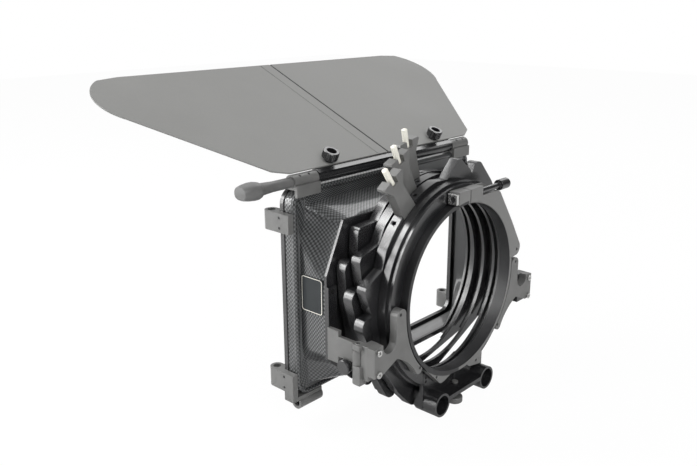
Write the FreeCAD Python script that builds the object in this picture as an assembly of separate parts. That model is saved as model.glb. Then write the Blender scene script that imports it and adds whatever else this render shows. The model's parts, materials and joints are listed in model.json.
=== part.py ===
import FreeCAD, Part
import math
import os

# Swing-away matte box: +X to the operator's right, +Y towards the scene, +Z up, millimetres.
# The origin is the centre of the lens clamp's bore at its rear face.

V = FreeCAD.Vector

# Lens clamp ring
bore_radius = 65.0
clamp_wall = 3.0
clamp_depth = 9.5
rear_plate_thickness = 6.0
slit_width = 1.0
lug_length = 14.0
lug_height = 10.0
lug_proud = 3.0
clamp_screw_radius = 2.2
clamp_screw_length = 70.0
clamp_thumb_radius = 4.2
clamp_thumb_length = 11.0

# Adapter ring and the fixed rear plate
ring_gap = 0.3
adapter_outer_radius = 79.0
base_thickness = 6.2
base_flat_drop = 74.8
base_bore_radius = 66.5
base_outer_radius = 81.0

# Filter stages, each turned about the optical axis by its own lean to the left of vertical
stage_pitch = 10.0
stage_thickness = 8.0
stage_first_y = 16.0
stage_leans = {"c": 35.3, "b": 23.8, "a": 11.8}
stage_bore_radius = 68.0
stage_cheek = 2.4
pocket_radius = 74.0
stage_flat_drop = 71.5
spigot_inner_radius = 76.0
spigot_outer_radius = 80.0
running_gap = 0.3
band_radius = 84.0
band_end_radius = 81.8
shoulder_radius = 95.2
shoulder_fall = 88.5
notch_radius = 86.3
lobe_radius = 96.8
waist_radius = 87.0
rim_hole_radius = 1.6
rim_hole_angle = 9.5
rim_hole_depth = 5.0

# Stage handles and their nylon lock screws
handle_seat = 80.5
handle_root_half = 7.5
handle_neck_half = 6.0
handle_barb_half = 11.0
handle_barb_rise = 10.5
handle_tip = 113.0
handle_notch_depth = 5.0
handle_margin = 0.2
nylon_radius = 2.3
nylon_proud = 14.0
nylon_seat_depth = 10.0
running_clearance = 0.05

# Ears, hinge and swing arm
ear_gap = 0.9
ear_end_x = 102.3
ear_screw_x = 98.2
ear_screw_zs = (-18.9, -35.0)
ear_screw_head_radius = 2.4
ear_screw_head_height = 1.4
ear_screw_radius = 1.6
block_width = 10.8
block_depth = 6.4
block_top = -15.5
block_bottom = -41.0
hinge_offset = 4.0
hinge_inset = 1.1
knuckle_radius = 3.6
hinge_pin_radius = 2.0
knuckle_bottom = -45.5
arm_bottom = -31.0
arm_knuckle_top = -20.0
arm_top = -16.0
arm_thickness = 3.2
arm_offset = 0.8
arm_foot_length = 10.5
arm_foot_bottom = -36.5
arm_foot_top = -12.0
lock_lug_radius = 5.0
lock_lug_drop = 4.5
lock_knob_radius = 5.5
lock_knob_length = 4.0
lock_stud_radius = 2.0

# Small screws of the rear frame, as (x, z) on its rear faces
frame_screw_radius = 1.2
screw_clearance = 0.05
ear_tip_places = ((75.0, 1.6), (51.9, -47.1))
ring_screw_places = ((75.3, 12.5), (-31.0, -62.8), (22.0, -68.2))
bracket_screw_places = ((36.5, -63.0), (36.5, -66.6))
frame_screw_bite = 2.5
frame_screw_recess = 0.4

# Rod bracket for two support rods
rod_radius = 7.5
rod_clearance = 0.05
rod_spacing = 60.0
rod_axis_drop = 84.84
tube_outer_radius = 9.4
tube_rear_y = -5.6
tube_length = 20.0
bridge_thickness = 3.4
bridge_top_drop = 80.8
upright_half_width = 39.5
upright_top_drop = 59.0
sole_top_drop = 75.3
sole_bottom_drop = 88.0
rod_screw_radius = 2.5
rod_thumb_radius = 6.5
rod_thumb_height = 5.0
rod_thumb_drop = 92.0

# Hood, its mounting plate and its front frame
mount_plate_thickness = 2.0
mount_band = 4.0
hood_length = 24.0
hood_wall = 2.0
hood_side = 100.5
side_top = 25.0
side_bottom = -38.0
rear_top_half = 83.0
rear_top = 62.0
rear_bottom_half = 75.0
rear_bottom = -63.0
front_top_half = 95.0
front_top = 71.5
front_bottom_half = 94.0
front_bottom = -70.0
rim_width = 212.0
rim_height = 158.5
rim_centre_z = 3.25
rim_corner = 12.0
rim_depth = 10.0
rim_wall = 3.0
rim_back = 2.5
frame_depth = 4.0
frame_band = 6.0
rail_width = 8.5
rail_depth = 1.7
rail_top = 17.0
rail_bottom = -38.0
rail_screw_zs = (13.5, -6.0)
rail_screw_radius = 1.1
rail_head_radius = 1.8
rail_head_height = 1.0
label_length = 21.5
label_height = 27.5
label_bottom = -6.0
label_thickness = 0.6
label_corner = 2.5

# Brackets on the hood's rim
bracket_plate = 5.0
bracket_hook = 2.5
flag_bore_radius = 3.05
boss_radius = 5.2
boss_reach = 8.5
side_bracket_bottom = 52.0
side_bracket_top = 66.0
corner_bracket_bottom = -72.0
corner_bracket_top = -57.0
foot_inner_x = 81.0
foot_outer_x = 104.0
foot_plate = 3.0
foot_bore_cover = 0.2
set_screw_radius = 1.0
set_screw_recess = 0.4
set_screw_setback = 4.6

# Flag rod, lever and holder bar
rod_seat_y = 4.0
flag_rod_radius = 3.0
clamp_base_height = 3.5
lever_shaft_radius = 3.7
lever_shaft_length = 17.7
lever_knob_length = 27.0
lever_knob_radius = 6.0
lever_wing_half = 7.6
lever_wing_thickness = 6.0
bar_radius = 4.6
bar_end_gap = 0.4
bar_plate_behind = 3.0
bar_plate_ahead = 15.0
bar_plate_thickness = 2.0
flag_lift = 5.5

# Flag
flag_tilt = 23.8
flag_thickness = 1.0
flag_near = 2.2
flag_near_half = 105.0
flag_shoulder = (117.0, 6.0)
flag_flare = (176.0, 92.0)
flag_corner = (184.5, 122.0)
flag_far_corner = (168.0, 146.0)
flag_far_half = 150.0
flag_length = 148.5
leaf_width = 11.6
flag_hinge_radius = 0.7
flag_seam = 0.1
knob_x = 62.7
knob_setback = 4.5
knob_shank_radius = 2.0
knob_hole_slack = 0.2
knob_neck_radius = 3.4
knob_neck_height = 2.2
knob_head_radius = 6.2
knob_head_height = 6.2
knob_cup_radius = 3.6
knob_cup_depth = 4.5

# Places worked out from the sizes above
clamp_outer_radius = bore_radius + clamp_wall
base_rear_y = clamp_depth
ear_inner_radius = clamp_outer_radius + ear_gap
block_front_y = rear_plate_thickness + block_depth
hinge_x = -(ear_end_x - hinge_inset)
hinge_y = block_front_y + hinge_offset
knuckle_gap = running_gap
lug_bottom = bore_radius + 1.6
clamp_screw_y = rear_plate_thickness / 2 - lug_proud / 2 - 0.3
clamp_screw_z = lug_bottom + lug_height / 2
stage_ys = {name: stage_first_y + i * stage_pitch for i, name in enumerate("cba")}
mount_y = stage_first_y + 3 * stage_pitch
hood_rear_y = mount_y + mount_plate_thickness
rim_rear_y = hood_rear_y + hood_length
frame_y = rim_rear_y + rim_depth
frame_front_y = frame_y + frame_depth
rim_half = rim_width / 2
rim_top = rim_centre_z + rim_height / 2
rim_bottom = rim_centre_z - rim_height / 2
rail_rear_y = mount_y - rail_depth
arm_outer_x = hinge_x - arm_offset
arm_inner_x = arm_outer_x + arm_thickness
rail_outer_x = -hood_side
flag_axis_y = rim_rear_y + rod_seat_y
flag_axis_z = rim_top + boss_radius + 0.1
bore_boss_y = frame_front_y + boss_reach
bore_boss_x = rim_half + bracket_plate - boss_radius
foot_axis_z = rim_bottom - foot_plate - foot_bore_cover - flag_bore_radius
bar_half = foot_inner_x - bar_end_gap


def box(x0, x1, y0, y1, z0, z1):
    """Box between two values on each axis."""
    return Part.makeBox(x1 - x0, y1 - y0, z1 - z0, V(x0, y0, z0))


def rod_along(direction, start, radius, length):
    """Round bar from a start point."""
    return Part.makeCylinder(radius, length, V(*start), direction)


def annulus(outer, inner, y0, y1):
    """Flat ring round the optical axis."""
    disc = rod_along(V(0, 1, 0), (0, y0, 0), outer, y1 - y0)
    return disc.cut(rod_along(V(0, 1, 0), (0, y0 - 1, 0), inner, y1 - y0 + 2))


def polar(radius, degrees):
    """Point at an angle from straight up, positive to the right, as (x, z)."""
    turn = math.radians(degrees)
    return (radius * math.sin(turn), radius * math.cos(turn))


def closed_wire(start, path, place):
    """Closed outline; each step of path is an end point, or (middle, end) of an arc."""
    edges = []
    here = start
    for step in list(path) + [start]:
        if isinstance(step[0], tuple):
            edges.append(Part.Arc(place(here), place(step[0]), place(step[1])).toShape())
            here = step[1]
        elif step != here:
            edges.append(Part.LineSegment(place(here), place(step)).toShape())
            here = step
    return Part.Wire(edges)


def plate_xz(start, path, y0, y1):
    """Plate whose outline lies across the optical axis."""
    wire = closed_wire(start, path, lambda p: V(p[0], y0, p[1]))
    return Part.Face(wire).extrude(V(0, y1 - y0, 0))


def plate_yz(start, path, x0, x1):
    """Plate whose outline lies in a side view."""
    wire = closed_wire(start, path, lambda p: V(x0, p[0], p[1]))
    return Part.Face(wire).extrude(V(x1 - x0, 0, 0))


def plate_xy(start, path, z0, z1):
    """Plate whose outline is seen from above."""
    wire = closed_wire(start, path, lambda p: V(p[0], p[1], z0))
    return Part.Face(wire).extrude(V(0, 0, z1 - z0))


def rounded_plate(width, height, corner, centre_z, y0, y1):
    """Rectangular plate across the axis with round corners."""
    w = width / 2
    top = centre_z + height / 2
    low = centre_z - height / 2
    bow = corner * (1 - math.sqrt(0.5))
    path = [
        (w - corner, top),
        ((w - bow, top - bow), (w, top - corner)),
        (w, low + corner),
        ((w - bow, low + bow), (w - corner, low)),
        (-w + corner, low),
        ((-w + bow, low + bow), (-w, low + corner)),
        (-w, top - corner),
        ((-w + bow, top - bow), (-w + corner, top)),
    ]
    return plate_xz(path[0], path[1:], y0, y1)


def mirrored(shape):
    """The same piece on the other side of the object."""
    return shape.mirror(V(0, 0, 0), V(1, 0, 0))


def fused(first, *others):
    """One solid from pieces that meet."""
    return first.fuse(list(others)).removeSplitter()


def leaned(shape, lean):
    """Turn a piece about the optical axis, to the left of vertical."""
    turned = shape.copy()
    turned.rotate(V(0, 0, 0), V(0, 1, 0), -lean)
    return turned


def tilted(shape):
    """Turn a flag piece about the flag rod to its rest tilt."""
    turned = shape.copy()
    turned.rotate(V(0, flag_axis_y, flag_axis_z), V(1, 0, 0), flag_tilt)
    return turned


def drilled(shape, places, radius, y0, y1):
    """Holes along the optical axis at (x, z) places."""
    for x, z in places:
        shape = shape.cut(rod_along(V(0, 1, 0), (x, y0, z), radius, y1 - y0))
    return shape


def both_sides(places):
    """The same (x, z) places on the right and on the left."""
    return tuple(places) + tuple((-x, z) for x, z in places)


def lens_clamp_ring():
    """Split ring with two clamp lugs, a gusset plate and a two-lug foot."""
    wall = annulus(clamp_outer_radius, bore_radius, 0, clamp_depth)
    lug_top = lug_bottom + lug_height
    gusset = plate_xz(
        (0, bore_radius + 1),
        [
            (0, lug_top), (26.0, 76.0), (45.0, 66.5), (65.5, 38.0), (78.5, 18.0),
            ((79.8, 12.0), (75.5, 7.6)), (67.0, 7.0), (60.0, 30.0), (30.0, 60.0),
        ],
        0, rear_plate_thickness,
    )
    foot = plate_xz(
        (-46.0, -50.5),
        [
            (-26.0, -70.0), (-22.0, -70.0), (-12.0, -67.0), (9.3, -67.0), (12.3, -70.0),
            (28.0, -73.0), (29.5, -71.5), (29.5, -58.0), (-30.0, -45.0),
        ],
        0, rear_plate_thickness,
    )
    left_lug = box(-lug_length, 0, -lug_proud, rear_plate_thickness, lug_bottom, lug_top)
    right_lug = box(0, lug_length + 2, -lug_proud, rear_plate_thickness, lug_bottom, lug_top)
    body = fused(wall, gusset, foot, left_lug, right_lug)
    body = body.cut(rod_along(V(0, 1, 0), (0, -1, 0), bore_radius, clamp_depth + 2))
    half = slit_width / 2
    body = body.cut(box(-half, half, -lug_proud - 1, clamp_depth + 1, bore_radius - 3, lug_top + 1))
    groove = clamp_screw_radius + 1.2
    body = body.cut(
        box(lug_length + 2, 60, -1, clamp_screw_y + groove, clamp_screw_z - groove, lug_top + 3)
    )
    hole = clamp_screw_radius + running_clearance
    start = (-lug_length - 1, clamp_screw_y, clamp_screw_z)
    body = body.cut(rod_along(V(1, 0, 0), start, hole, 2 * lug_length + 4))
    return drilled(body, ring_screw_places, frame_screw_radius + screw_clearance, -1, rear_plate_thickness + 1)


def clamp_screw():
    """Long screw with a round thumb end."""
    start = (-lug_length - 1.5, clamp_screw_y, clamp_screw_z)
    shank = rod_along(V(1, 0, 0), start, clamp_screw_radius, clamp_screw_length - clamp_thumb_length)
    thumb_x = start[0] + clamp_screw_length - clamp_thumb_length
    thumb = rod_along(
        V(1, 0, 0), (thumb_x, clamp_screw_y, clamp_screw_z), clamp_thumb_radius, clamp_thumb_length
    )
    return fused(shank, thumb)


def clamp_nut():
    """Square nut beside the left lug, open for the screw."""
    side = clamp_screw_radius + 1.6
    body = box(
        -lug_length - 3.0, -lug_length, clamp_screw_y - side, clamp_screw_y + side,
        clamp_screw_z - side, clamp_screw_z + side,
    )
    start = (-lug_length - 4, clamp_screw_y, clamp_screw_z)
    return body.cut(rod_along(V(1, 0, 0), start, clamp_screw_radius + running_clearance, 6))


def adapter_ring():
    """Flat ring on the fixed plate, open below for the rod bracket."""
    body = annulus(
        adapter_outer_radius, clamp_outer_radius + ring_gap, rear_plate_thickness, base_rear_y
    )
    opening = upright_half_width + ring_gap
    body = body.cut(box(-opening, opening, 0, base_rear_y + 1, -adapter_outer_radius - 1, 0))
    places = both_sides(ear_tip_places) + ring_screw_places[:1]
    return drilled(body, places, frame_screw_radius + screw_clearance, 0, base_rear_y + 1)


def stage_outline(y0, y1):
    """Plate with four lobed corners and a flat below, its handle side up."""
    quarter = [
        polar(band_end_radius, 33),
        polar(shoulder_radius, 41.5),
        (polar(shoulder_radius + 0.3, 43.2), polar(shoulder_radius - 0.8, 45)),
        polar(shoulder_fall, 52.5),
        polar(notch_radius, 55),
        polar(lobe_radius - 3.0, 55.8),
        (polar(lobe_radius, 58.5), polar(lobe_radius - 0.8, 62)),
        polar(waist_radius + 4, 74),
        polar(waist_radius, 90),
    ]
    upper = [polar(band_radius, 24)] + quarter
    flat_half = math.sqrt(band_radius**2 - stage_flat_drop**2)
    lower = turned_back(upper[1:], 1, -1) + [(flat_half, -stage_flat_drop)]
    right = upper + lower
    left = [(-flat_half, -stage_flat_drop)] + turned_back(right[:-1], -1, 1)
    return plate_xz(left[-1], [(polar(band_radius, 0), upper[0])] + right[1:] + left, y0, y1)


def turned_back(path, sign_x, sign_z):
    """The same outline walked the other way, mirrored by the signs, without its last point."""
    ends = [step[1] if isinstance(step[0], tuple) else step for step in path]
    back = []
    for i in range(len(path) - 1, 0, -1):
        x, z = ends[i - 1]
        if isinstance(path[i][0], tuple):
            middle = (path[i][0][0] * sign_x, path[i][0][1] * sign_z)
            back.append((middle, (x * sign_x, z * sign_z)))
        else:
            back.append((x * sign_x, z * sign_z))
    return back


def stage_base():
    """Fixed rear plate, with the clamp ring, the ears and the bracket on it."""
    front = base_rear_y + base_thickness
    body = annulus(base_outer_radius, base_bore_radius, base_rear_y, front)
    body = body.cut(box(-base_outer_radius, base_outer_radius, 0, front + 1, -90, -base_flat_drop))
    body = body.cut(
        rod_along(V(0, 1, 0), (0, base_rear_y + stage_cheek, 0), base_bore_radius + 4, stage_thickness)
    )
    places = both_sides(ear_tip_places + bracket_screw_places) + ring_screw_places
    hole = frame_screw_radius + screw_clearance
    return drilled(body, places, hole, base_rear_y - 1, base_rear_y + frame_screw_bite)


def stage_frame(name):
    """Turning filter frame with its filter pocket, the flat end open, and a spigot in front."""
    y0 = stage_ys[name]
    y1 = y0 + stage_thickness
    body = stage_outline(y0, y1)
    spigot = annulus(spigot_outer_radius, spigot_inner_radius, y1 - 1, y1 + stage_pitch
                     - stage_thickness - running_gap)
    spigot = spigot.cut(box(-90, 90, y0, y1 + 5, -90, 10 - stage_flat_drop))
    body = fused(body, spigot)
    body = body.cut(rod_along(V(0, 1, 0), (0, y0 - 1, 0), stage_bore_radius, stage_thickness + 3))
    body = body.cut(rod_along(V(0, 1, 0), (0, y0 + stage_cheek, 0), pocket_radius, stage_thickness))
    seat = handle_root_half + handle_margin
    body = body.cut(box(-seat, seat, y0 - 1, y1, handle_seat, band_radius + 3))
    for side in (-1, 1):
        turn = math.radians(rim_hole_angle * side)
        way = V(math.sin(turn), 0, math.cos(turn))
        start = way * (band_radius - rim_hole_depth) + V(0, y0 + stage_thickness / 2, 0)
        body = body.cut(rod_along(way, start, rim_hole_radius, 10))
    return leaned(body, stage_leans[name])


def stage_handle(name):
    """Fishtail handle on the stage's rim, bored along its middle for the lock screw."""
    y0 = stage_ys[name] + handle_margin
    y1 = stage_ys[name] + stage_thickness - handle_margin
    notch = handle_tip - handle_notch_depth
    body = plate_xz(
        (-handle_root_half, handle_seat),
        [
            (-handle_neck_half, handle_tip - handle_barb_rise), (-handle_barb_half, handle_tip - 1.5),
            (-handle_barb_half + 0.8, handle_tip), (-nylon_radius - 0.8, handle_tip),
            (-nylon_radius - 0.6, notch), (nylon_radius + 0.6, notch),
            (nylon_radius + 0.8, handle_tip), (handle_barb_half - 0.8, handle_tip),
            (handle_barb_half, handle_tip - 1.5), (handle_neck_half, handle_tip - handle_barb_rise),
            (handle_root_half, handle_seat),
        ],
        y0, y1,
    )
    hole_start = (0, (y0 + y1) / 2, notch - nylon_seat_depth)
    body = body.cut(
        rod_along(V(0, 0, 1), hole_start, nylon_radius + running_clearance, nylon_seat_depth + 2)
    )
    return leaned(body, stage_leans[name])


def handle_pin(name):
    """Nylon lock screw that stands out of the handle's notch."""
    notch = handle_tip - handle_notch_depth
    middle_y = stage_ys[name] + stage_thickness / 2
    start = (0, middle_y, notch - nylon_seat_depth + 0.2)
    length = nylon_seat_depth + nylon_proud
    body = rod_along(V(0, 0, 1), start, nylon_radius, length)
    ends = [edge for edge in body.Edges if edge.BoundBox.ZLength < 0.01]
    return leaned(body.makeChamfer(0.4, ends), stage_leans[name])


def ear():
    """Right-hand side plate: two arms along the ring and a block seat past a U notch."""
    inner_top = polar(ear_inner_radius, 90 - 1)
    inner_middle = polar(ear_inner_radius, 90 + 20)
    inner_low = polar(ear_inner_radius, 90 + 44.5)
    end = ear_end_x
    body = plate_xz(
        inner_top,
        [
            ((ear_inner_radius + 5.4, 5.4), (79.3, 0.8)),
            (79.3, -12.0),
            (79.8, -17.5),
            ((86.5, -23.0), (93.3, -18.0)),
            (93.5, block_top + 0.8),
            (end, block_top - 0.2),
            (end, -37.0),
            (94.0, -37.0),
            (78.5, -30.3),
            ((67.0, -37.0), (56.5, -49.0)),
            ((53.5, -51.6), inner_low),
            (inner_middle, inner_top),
        ],
        0, rear_plate_thickness,
    )
    body = drilled(body, ear_tip_places, frame_screw_radius + screw_clearance, -1, rear_plate_thickness + 1)
    seats = [(ear_screw_x, z) for z in ear_screw_zs]
    return drilled(body, seats, ear_screw_radius + screw_clearance, -1, rear_plate_thickness + 1)


def ear_block():
    """Right-hand block on the front of the ear."""
    body = box(
        ear_end_x - block_width, ear_end_x, rear_plate_thickness, block_front_y,
        block_bottom, block_top,
    )
    seats = [(ear_screw_x, z) for z in ear_screw_zs]
    return drilled(body, seats, ear_screw_radius + screw_clearance, 0, block_front_y - 1.5)


def hinge_block():
    """Left-hand block with the two outer knuckles of the swing hinge."""
    body = mirrored(ear_block())
    for low, high in ((knuckle_bottom, arm_bottom - knuckle_gap), (arm_knuckle_top + knuckle_gap, block_top)):
        barrel = rod_along(V(0, 0, 1), (hinge_x, hinge_y, low), knuckle_radius, high - low)
        web = box(
            hinge_x - knuckle_radius, hinge_x + knuckle_radius, block_front_y - 1, hinge_y, low, high
        )
        body = fused(body, barrel, web)
    start = (hinge_x, hinge_y, knuckle_bottom + 1.5)
    return body.cut(rod_along(V(0, 0, 1), start, hinge_pin_radius, block_top - start[2] + 1))


def hinge_pin():
    """Vertical pin of the swing hinge."""
    start = (hinge_x, hinge_y, knuckle_bottom + 1.5)
    return rod_along(V(0, 0, 1), start, hinge_pin_radius, block_top - start[2])


def socket_screw(x, z, head_radius, head_height, shank_radius, y_seat, length):
    """Cylinder-head screw along the optical axis, its hexagon socket to the rear."""
    head = rod_along(V(0, 1, 0), (x, y_seat - head_height, z), head_radius, head_height)
    shank = rod_along(V(0, 1, 0), (x, y_seat, z), shank_radius, length)
    flats = [
        (x + head_radius * 0.5 * math.cos(math.radians(60 * i)),
         z + head_radius * 0.5 * math.sin(math.radians(60 * i)))
        for i in range(6)
    ]
    socket = plate_xz(flats[0], flats[1:], y_seat - head_height - 1, y_seat - head_height * 0.3)
    return fused(head, shank).cut(socket)


def ear_screws():
    """Four steel screws through the ears into their blocks."""
    return [
        socket_screw(x, z, ear_screw_head_radius, ear_screw_head_height, ear_screw_radius,
                     0, block_front_y - 1.5)
        for x in (ear_screw_x, -ear_screw_x)
        for z in ear_screw_zs
    ]


def frame_screws():
    """Small grub-head screws that hold the ears, the ring and the bracket to the fixed plate."""
    from_rear = both_sides(ear_tip_places) + ring_screw_places
    starts = [(x, frame_screw_recess, z) for x, z in from_rear]
    starts += [(x, rear_plate_thickness + frame_screw_recess, z)
               for x, z in both_sides(bracket_screw_places)]
    end = base_rear_y + frame_screw_bite
    return [rod_along(V(0, 1, 0), (x, y, z), frame_screw_radius, end - y) for x, y, z in starts]


def rod_bracket():
    """Two rod tubes on a bridge, with a sole and an upright behind the fixed plate."""
    half = rod_spacing / 2
    tube_front = tube_rear_y + tube_length
    upright = box(
        -upright_half_width, upright_half_width, rear_plate_thickness, base_rear_y,
        -rod_axis_drop, -upright_top_drop,
    )
    upright = upright.cut(rod_along(V(0, 1, 0), (0, 0, 0), clamp_outer_radius + ring_gap, 20))
    sole = box(
        -upright_half_width, upright_half_width, rear_plate_thickness, tube_front,
        -sole_bottom_drop, -sole_top_drop,
    )
    bridge = box(
        -half, half, tube_rear_y, tube_front, -bridge_top_drop - bridge_thickness, -bridge_top_drop
    )
    tubes = [
        rod_along(V(0, 1, 0), (x, tube_rear_y, -rod_axis_drop), tube_outer_radius, tube_length)
        for x in (-half, half)
    ]
    body = fused(upright, sole, bridge, *tubes)
    seats = [(x, -rod_axis_drop) for x in (-half, half)]
    body = drilled(body, seats, rod_radius + rod_clearance, tube_rear_y - 1, tube_front + 1)
    under = box(
        tube_outer_radius - half, half - tube_outer_radius, tube_rear_y - 1, tube_front + 1,
        -sole_bottom_drop - 1, -bridge_top_drop - bridge_thickness,
    )
    body = body.cut(under)
    hole = (0, tube_rear_y + tube_length / 2, -rod_thumb_drop)
    body = body.cut(
        rod_along(V(0, 0, 1), hole, rod_screw_radius + running_clearance,
                  rod_thumb_drop - sole_top_drop + 1)
    )
    places = both_sides(bracket_screw_places) + ring_screw_places[1:]
    hole = frame_screw_radius + screw_clearance
    return drilled(body, places, hole, rear_plate_thickness - 1, base_rear_y + 1)


def rod_lock_screw():
    """Thumb screw under the bridge."""
    y = tube_rear_y + tube_length / 2
    low = -rod_thumb_drop - rod_thumb_height
    thumb = rod_along(V(0, 0, 1), (0, y, low), rod_thumb_radius, rod_thumb_height)
    rims = [edge for edge in thumb.Edges if edge.BoundBox.ZLength < 0.01]
    thumb = thumb.makeChamfer(0.6, rims)
    length = rod_thumb_drop - bridge_top_drop + 1.5
    return fused(thumb, rod_along(V(0, 0, 1), (0, y, -rod_thumb_drop), rod_screw_radius, length))


def swing_arm():
    """Flat arm from the hinge to the rail, with a lug for the lock knob."""
    clear_y = hinge_y + knuckle_radius + 0.6
    foot_y = rail_rear_y - arm_foot_length
    body = plate_yz(
        (hinge_y, arm_bottom),
        [
            (foot_y, arm_bottom), (foot_y, arm_foot_bottom), (rail_rear_y, arm_foot_bottom),
            (rail_rear_y, arm_foot_top), (foot_y, arm_foot_top), (foot_y, arm_top),
            (clear_y, arm_top), (clear_y, arm_knuckle_top), (hinge_y, arm_knuckle_top),
        ],
        arm_outer_x, arm_inner_x,
    )
    lug_y, lug_z = lock_place()
    lug = rod_along(V(1, 0, 0), (arm_outer_x, lug_y, lug_z), lock_lug_radius, arm_thickness)
    barrel = rod_along(
        V(0, 0, 1), (hinge_x, hinge_y, arm_bottom), knuckle_radius, arm_knuckle_top - arm_bottom
    )
    body = fused(body, lug, barrel)
    pin = hinge_pin_radius + running_clearance
    body = body.cut(rod_along(V(0, 0, 1), (hinge_x, hinge_y, arm_bottom - 1), pin, 30))
    stud = lock_stud_radius + running_clearance
    return body.cut(rod_along(V(1, 0, 0), (arm_outer_x - 1, lug_y, lug_z), stud, arm_thickness + 2))


def lock_place():
    """Centre of the lock knob on the arm, as (y, z)."""
    return ((hinge_y + rail_rear_y - arm_foot_length) / 2 + 1.1, arm_bottom - lock_lug_drop)


def swing_lock_knob():
    """Round lock knob on the arm's outer face."""
    y, z = lock_place()
    outer = arm_outer_x - running_gap - lock_knob_length
    knob = rod_along(V(1, 0, 0), (outer, y, z), lock_knob_radius, lock_knob_length)
    rims = [edge for edge in knob.Edges if edge.BoundBox.XLength < 0.01]
    knob = knob.makeChamfer(0.6, rims)
    stud = rod_along(
        V(1, 0, 0), (outer + 1, y, z), lock_stud_radius, arm_inner_x - outer - 1
    )
    return fused(knob, stud)


def hood_outline(top_half, top, bottom_half, bottom, inset):
    """Eight corners of the hood's cross-section, moved in by a wall."""
    side = hood_side - inset
    right = [
        (top_half - inset, top - inset),
        (side, side_top),
        (side, side_bottom),
        (bottom_half - inset, bottom + inset),
    ]
    return right + [(-x, z) for x, z in reversed(right)]


def rear_outline(inset):
    """The hood's section at its mounting plate."""
    return hood_outline(rear_top_half, rear_top, rear_bottom_half, rear_bottom, inset)


def front_outline(inset):
    """The hood's section at its rim."""
    return hood_outline(front_top_half, front_top, front_bottom_half, front_bottom, inset)


def hood_loft(inset):
    """Straight-sided body between the two sections."""
    wires = []
    for points, y in ((rear_outline(inset), hood_rear_y), (front_outline(inset), rim_rear_y)):
        wires.append(Part.makePolygon([V(x, y, z) for x, z in points + points[:1]]))
    return Part.makeLoft(wires, True, True)


def hood_mount_plate():
    """Plate behind the hood, drilled for the rail."""
    outline = rear_outline(0)
    body = plate_xz(outline[0], outline[1:], mount_y, hood_rear_y)
    inner = rear_outline(mount_band)
    opening = plate_xz(inner[0], inner[1:], mount_y - 1, hood_rear_y + 1)
    circle = rod_along(V(0, 1, 0), (0, mount_y - 1, 0), pocket_radius - 1, mount_plate_thickness + 2)
    body = body.cut(opening.common(circle))
    screw_x = rail_outer_x + rail_width / 2
    hole = rail_screw_radius + screw_clearance
    return drilled(body, [(screw_x, z) for z in rail_screw_zs], hole, 0, hood_rear_y)


def mount_rail():
    """Upright rail that joins the swing arm to the mounting plate."""
    body = box(rail_outer_x, rail_outer_x + rail_width, rail_rear_y, mount_y, rail_bottom, rail_top)
    screw_x = rail_outer_x + rail_width / 2
    hole = rail_screw_radius + screw_clearance
    places = [(screw_x, z) for z in rail_screw_zs]
    body = drilled(body, places, hole, 0, mount_y + 1)
    seat_y = rail_rear_y + rail_head_height + 0.1
    return drilled(body, places, rail_head_radius + screw_clearance, 0, seat_y)


def rail_screws():
    """Two screws through the rail into the mounting plate."""
    seat_y = rail_rear_y + rail_head_height + 0.1
    return [
        socket_screw(rail_outer_x + rail_width / 2, z, rail_head_radius, rail_head_height,
                     rail_screw_radius, seat_y, hood_rear_y - seat_y)
        for z in rail_screw_zs
    ]


def hood_shell():
    """Carbon hood: a tapered eight-sided body that opens into a deep rounded rim."""
    body = hood_loft(0).cut(hood_loft(hood_wall))
    back = rounded_plate(rim_width, rim_height, rim_corner, rim_centre_z, rim_rear_y, rim_rear_y + rim_back)
    mouth = front_outline(hood_wall)
    back = back.cut(plate_xz(mouth[0], mouth[1:], rim_rear_y - 1, rim_rear_y + rim_back + 1))
    rim = rounded_plate(rim_width, rim_height, rim_corner, rim_centre_z, rim_rear_y, frame_y)
    inner = rounded_plate(
        rim_width - 2 * rim_wall, rim_height - 2 * rim_wall, rim_corner - rim_wall, rim_centre_z,
        rim_rear_y - 1, frame_y + 1,
    )
    return fused(body, back, rim.cut(inner))


def front_frame():
    """Black frame round the hood's mouth."""
    body = rounded_plate(rim_width, rim_height, rim_corner, rim_centre_z, frame_y, frame_front_y)
    mouth = rounded_plate(
        rim_width - 2 * frame_band, rim_height - 2 * frame_band, rim_corner - frame_band / 2,
        rim_centre_z, frame_y - 1, frame_front_y + 1,
    )
    return body.cut(mouth)


def label_plate():
    """Small blank name plate on the hood's left side."""
    y1 = rim_rear_y - 1.0
    y0 = y1 - label_length
    z0 = label_bottom
    z1 = label_bottom + label_height
    body = box(-hood_side - label_thickness, -hood_side, y0, y1, z0, z1)
    corners = [edge for edge in body.Edges if edge.BoundBox.XLength > label_thickness - 0.01]
    return body.makeFillet(label_corner, corners)


def side_grip(bottom, top):
    """Left-hand grip round the rim's side, with an upright bore for a flag rod."""
    outer = -rim_half - bracket_plate
    plate = box(outer, -rim_half, rim_rear_y, bore_boss_y, bottom, top)
    nose = box(outer, -bore_boss_x + boss_radius, frame_front_y, bore_boss_y, bottom, top)
    boss = rod_along(V(0, 0, 1), (-bore_boss_x, bore_boss_y, bottom), boss_radius, top - bottom)
    body = fused(plate, nose, boss)
    start = (-bore_boss_x, bore_boss_y, bottom - 1)
    return body.cut(rod_along(V(0, 0, 1), start, flag_bore_radius, top - bottom + 2))


def side_screw_places():
    """Set screws of the grips, as (y, z) on their outer faces."""
    y = frame_front_y - set_screw_setback
    rows = ((side_bracket_bottom, side_bracket_top), (corner_bracket_bottom, corner_bracket_top))
    return [(y, z) for low, high in rows for z in (low + 3.2, high - 3.2)]


def with_side_screw_holes(body):
    """Holes for the set screws in a left-hand grip."""
    for y, z in side_screw_places():
        start = (-rim_half - bracket_plate - 1, y, z)
        hole = set_screw_radius + screw_clearance
        body = body.cut(rod_along(V(1, 0, 0), start, hole, bracket_plate + 1))
    return body


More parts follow.
